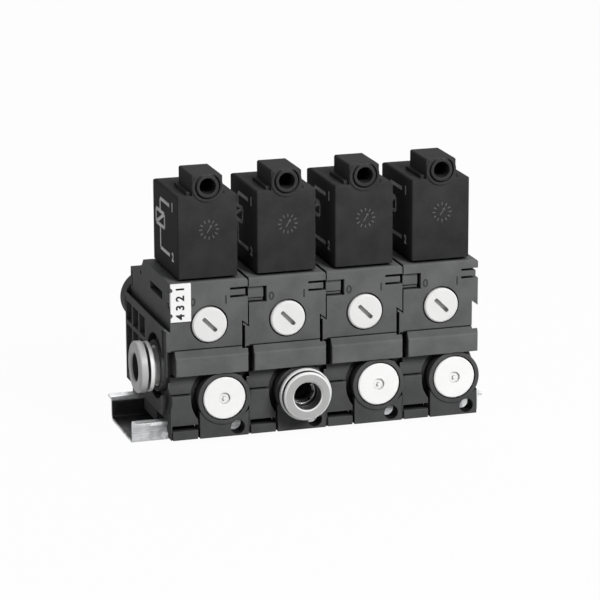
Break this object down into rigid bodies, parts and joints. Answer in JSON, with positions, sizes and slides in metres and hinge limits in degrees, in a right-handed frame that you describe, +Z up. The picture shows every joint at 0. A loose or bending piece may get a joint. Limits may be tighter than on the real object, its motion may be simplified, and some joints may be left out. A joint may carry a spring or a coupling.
{
  "type": "pneumatic valve block",
  "caption": "Row of solenoid-piloted pneumatic valve modules hooked side by side on a top-hat rail, with slotted manual overrides and push-in tube ports.",
  "frame": {"origin": "middle of the rail's underside, midway between the second and third modules", "axes": "+X along the rail from left to right, +Y from the front with the ports to the rear, +Z up from the rail to the cable sockets"},
  "size_m": [0.1134, 0.0625, 0.0852],
  "materials": {
    "grey_nylon": "fine-grained moulded dark grey plastic",
    "black_resin": "satin black moulding resin",
    "white_plastic": "smooth off-white plastic",
    "light_grey_plastic": "smooth light grey plastic",
    "black_plastic": "plain black plastic",
    "zinc_steel": "bright zinc-plated sheet steel",
    "iron": "turned soft iron",
    "spring_steel": "drawn spring wire",
    "aluminium": "turned aluminium",
    "brass": "plain brass",
    "copper": "enamelled copper wire",
    "seal_rubber": "soft black rubber"
  },
  "bodies": {
    "block": {"housing_1": "grey_nylon", "pilot_head_1": "black_resin", "armature_spring_1": "spring_steel", "spool_spring_1": "spring_steel", "bottom_cap_1": "black_plastic", "rear_cartridge_1": "grey_nylon", "housing_2": "grey_nylon", "pilot_head_2": "black_resin", "armature_spring_2": "spring_steel", "spool_spring_2": "spring_steel", "bottom_cap_2": "black_plastic", "rear_cartridge_2": "grey_nylon", "housing_3": "grey_nylon", "pilot_head_3": "black_resin", "armature_spring_3": "spring_steel", "spool_spring_3": "spring_steel", "bottom_cap_3": "black_plastic", "rear_cartridge_3": "grey_nylon", "housing_4": "grey_nylon", "pilot_head_4": "black_resin", "armature_spring_4": "spring_steel", "spool_spring_4": "spring_steel", "bottom_cap_4": "black_plastic", "rear_cartridge_4": "grey_nylon", "port_plug_1": "white_plastic", "port_plug_3": "white_plastic", "port_plug_4": "white_plastic", "front_cartridge": "white_plastic", "supply_cartridge": "white_plastic", "channel_couplings": "black_plastic", "channel_end_plug": "black_plastic", "override_seals": "seal_rubber", "head_seals": "seal_rubber", "contact_pins": "brass", "pole_cores": "iron", "coil_windings": "copper", "marker_plate": "white_plastic", "top_hat_rail": "zinc_steel"},
    "override_1": {"override_screw_1": "white_plastic"},
    "plunger_1": {"armature_1": "iron"},
    "valve_spool_1": {"spool_1": "aluminium"},
    "latch_1": {"rail_latch_1": "grey_nylon"},
    "rear_ring_1": {"rear_release_ring_1": "light_grey_plastic"},
    "override_2": {"override_screw_2": "white_plastic"},
    "plunger_2": {"armature_2": "iron"},
    "valve_spool_2": {"spool_2": "aluminium"},
    "latch_2": {"rail_latch_2": "grey_nylon"},
    "rear_ring_2": {"rear_release_ring_2": "light_grey_plastic"},
    "override_3": {"override_screw_3": "white_plastic"},
    "plunger_3": {"armature_3": "iron"},
    "valve_spool_3": {"spool_3": "aluminium"},
    "latch_3": {"rail_latch_3": "grey_nylon"},
    "rear_ring_3": {"rear_release_ring_3": "light_grey_plastic"},
    "override_4": {"override_screw_4": "white_plastic"},
    "plunger_4": {"armature_4": "iron"},
    "valve_spool_4": {"spool_4": "aluminium"},
    "latch_4": {"rail_latch_4": "grey_nylon"},
    "rear_ring_4": {"rear_release_ring_4": "light_grey_plastic"},
    "front_ring": {"front_release_ring": "light_grey_plastic"},
    "supply_ring": {"supply_release_ring": "light_grey_plastic"}
  },
  "joints": [
    {"name": "override_turn_1", "type": "hinge", "parent": "block", "child": "override_1", "pos_m": [-0.0377, -0.0225, 0.0388], "axis": [0, 1, 0], "range_deg": [0, 90]},
    {"name": "plunger_lift_1", "type": "slide", "parent": "block", "child": "plunger_1", "axis": [0, 0, 1], "range_m": [0, 0.0008], "stiffness_N_per_m": 200, "springref_m": -0.003, "deforming": ["armature_spring_1"]},
    {"name": "spool_stroke_1", "type": "slide", "parent": "block", "child": "valve_spool_1", "axis": [0, 0, -1], "range_m": [0, 0.003], "stiffness_N_per_m": 300, "springref_m": -0.002, "deforming": ["spool_spring_1"]},
    {"name": "latch_pull_1", "type": "slide", "parent": "block", "child": "latch_1", "axis": [0, -1, 0], "range_m": [0, 0.003], "stiffness_N_per_m": 100, "springref_m": -0.002},
    {"name": "rear_ring_press_1", "type": "slide", "parent": "block", "child": "rear_ring_1", "axis": [0, -1, 0], "range_m": [0, 0.0008], "stiffness_N_per_m": 200, "springref_m": -0.001},
    {"name": "override_turn_2", "type": "hinge", "parent": "block", "child": "override_2", "pos_m": [-0.0127, -0.0225, 0.0388], "axis": [0, 1, 0], "range_deg": [0, 90]},
    {"name": "plunger_lift_2", "type": "slide", "parent": "block", "child": "plunger_2", "axis": [0, 0, 1], "range_m": [0, 0.0008], "stiffness_N_per_m": 200, "springref_m": -0.003, "deforming": ["armature_spring_2"]},
    {"name": "spool_stroke_2", "type": "slide", "parent": "block", "child": "valve_spool_2", "axis": [0, 0, -1], "range_m": [0, 0.003], "stiffness_N_per_m": 300, "springref_m": -0.002, "deforming": ["spool_spring_2"]},
    {"name": "latch_pull_2", "type": "slide", "parent": "block", "child": "latch_2", "axis": [0, -1, 0], "range_m": [0, 0.003], "stiffness_N_per_m": 100, "springref_m": -0.002},
    {"name": "rear_ring_press_2", "type": "slide", "parent": "block", "child": "rear_ring_2", "axis": [0, -1, 0], "range_m": [0, 0.0008], "stiffness_N_per_m": 200, "springref_m": -0.001},
    {"name": "override_turn_3", "type": "hinge", "parent": "block", "child": "override_3", "pos_m": [0.0123, -0.0225, 0.0388], "axis": [0, 1, 0], "range_deg": [0, 90]},
    {"name": "plunger_lift_3", "type": "slide", "parent": "block", "child": "plunger_3", "axis": [0, 0, 1], "range_m": [0, 0.0008], "stiffness_N_per_m": 200, "springref_m": -0.003, "deforming": ["armature_spring_3"]},
    {"name": "spool_stroke_3", "type": "slide", "parent": "block", "child": "valve_spool_3", "axis": [0, 0, -1], "range_m": [0, 0.003], "stiffness_N_per_m": 300, "springref_m": -0.002, "deforming": ["spool_spring_3"]},
    {"name": "latch_pull_3", "type": "slide", "parent": "block", "child": "latch_3", "axis": [0, -1, 0], "range_m": [0, 0.003], "stiffness_N_per_m": 100, "springref_m": -0.002},
    {"name": "rear_ring_press_3", "type": "slide", "parent": "block", "child": "rear_ring_3", "axis": [0, -1, 0], "range_m": [0, 0.0008], "stiffness_N_per_m": 200, "springref_m": -0.001},
    {"name": "override_turn_4", "type": "hinge", "parent": "block", "child": "override_4", "pos_m": [0.0373, -0.0225, 0.0388], "axis": [0, 1, 0], "range_deg": [0, 90]},
    {"name": "plunger_lift_4", "type": "slide", "parent": "block", "child": "plunger_4", "axis": [0, 0, 1], "range_m": [0, 0.0008], "stiffness_N_per_m": 200, "springref_m": -0.003, "deforming": ["armature_spring_4"]},
    {"name": "spool_stroke_4", "type": "slide", "parent": "block", "child": "valve_spool_4", "axis": [0, 0, -1], "range_m": [0, 0.003], "stiffness_N_per_m": 300, "springref_m": -0.002, "deforming": ["spool_spring_4"]},
    {"name": "latch_pull_4", "type": "slide", "parent": "block", "child": "latch_4", "axis": [0, -1, 0], "range_m": [0, 0.003], "stiffness_N_per_m": 100, "springref_m": -0.002},
    {"name": "rear_ring_press_4", "type": "slide", "parent": "block", "child": "rear_ring_4", "axis": [0, -1, 0], "range_m": [0, 0.0008], "stiffness_N_per_m": 200, "springref_m": -0.001},
    {"name": "front_ring_press", "type": "slide", "parent": "block", "child": "front_ring", "axis": [0, 1, 0], "range_m": [0, 0.0008], "stiffness_N_per_m": 200, "springref_m": -0.001},
    {"name": "supply_ring_press", "type": "slide", "parent": "block", "child": "supply_ring", "axis": [1, 0, 0], "range_m": [0, 0.0008], "stiffness_N_per_m": 200, "springref_m": -0.001}
  ]
}
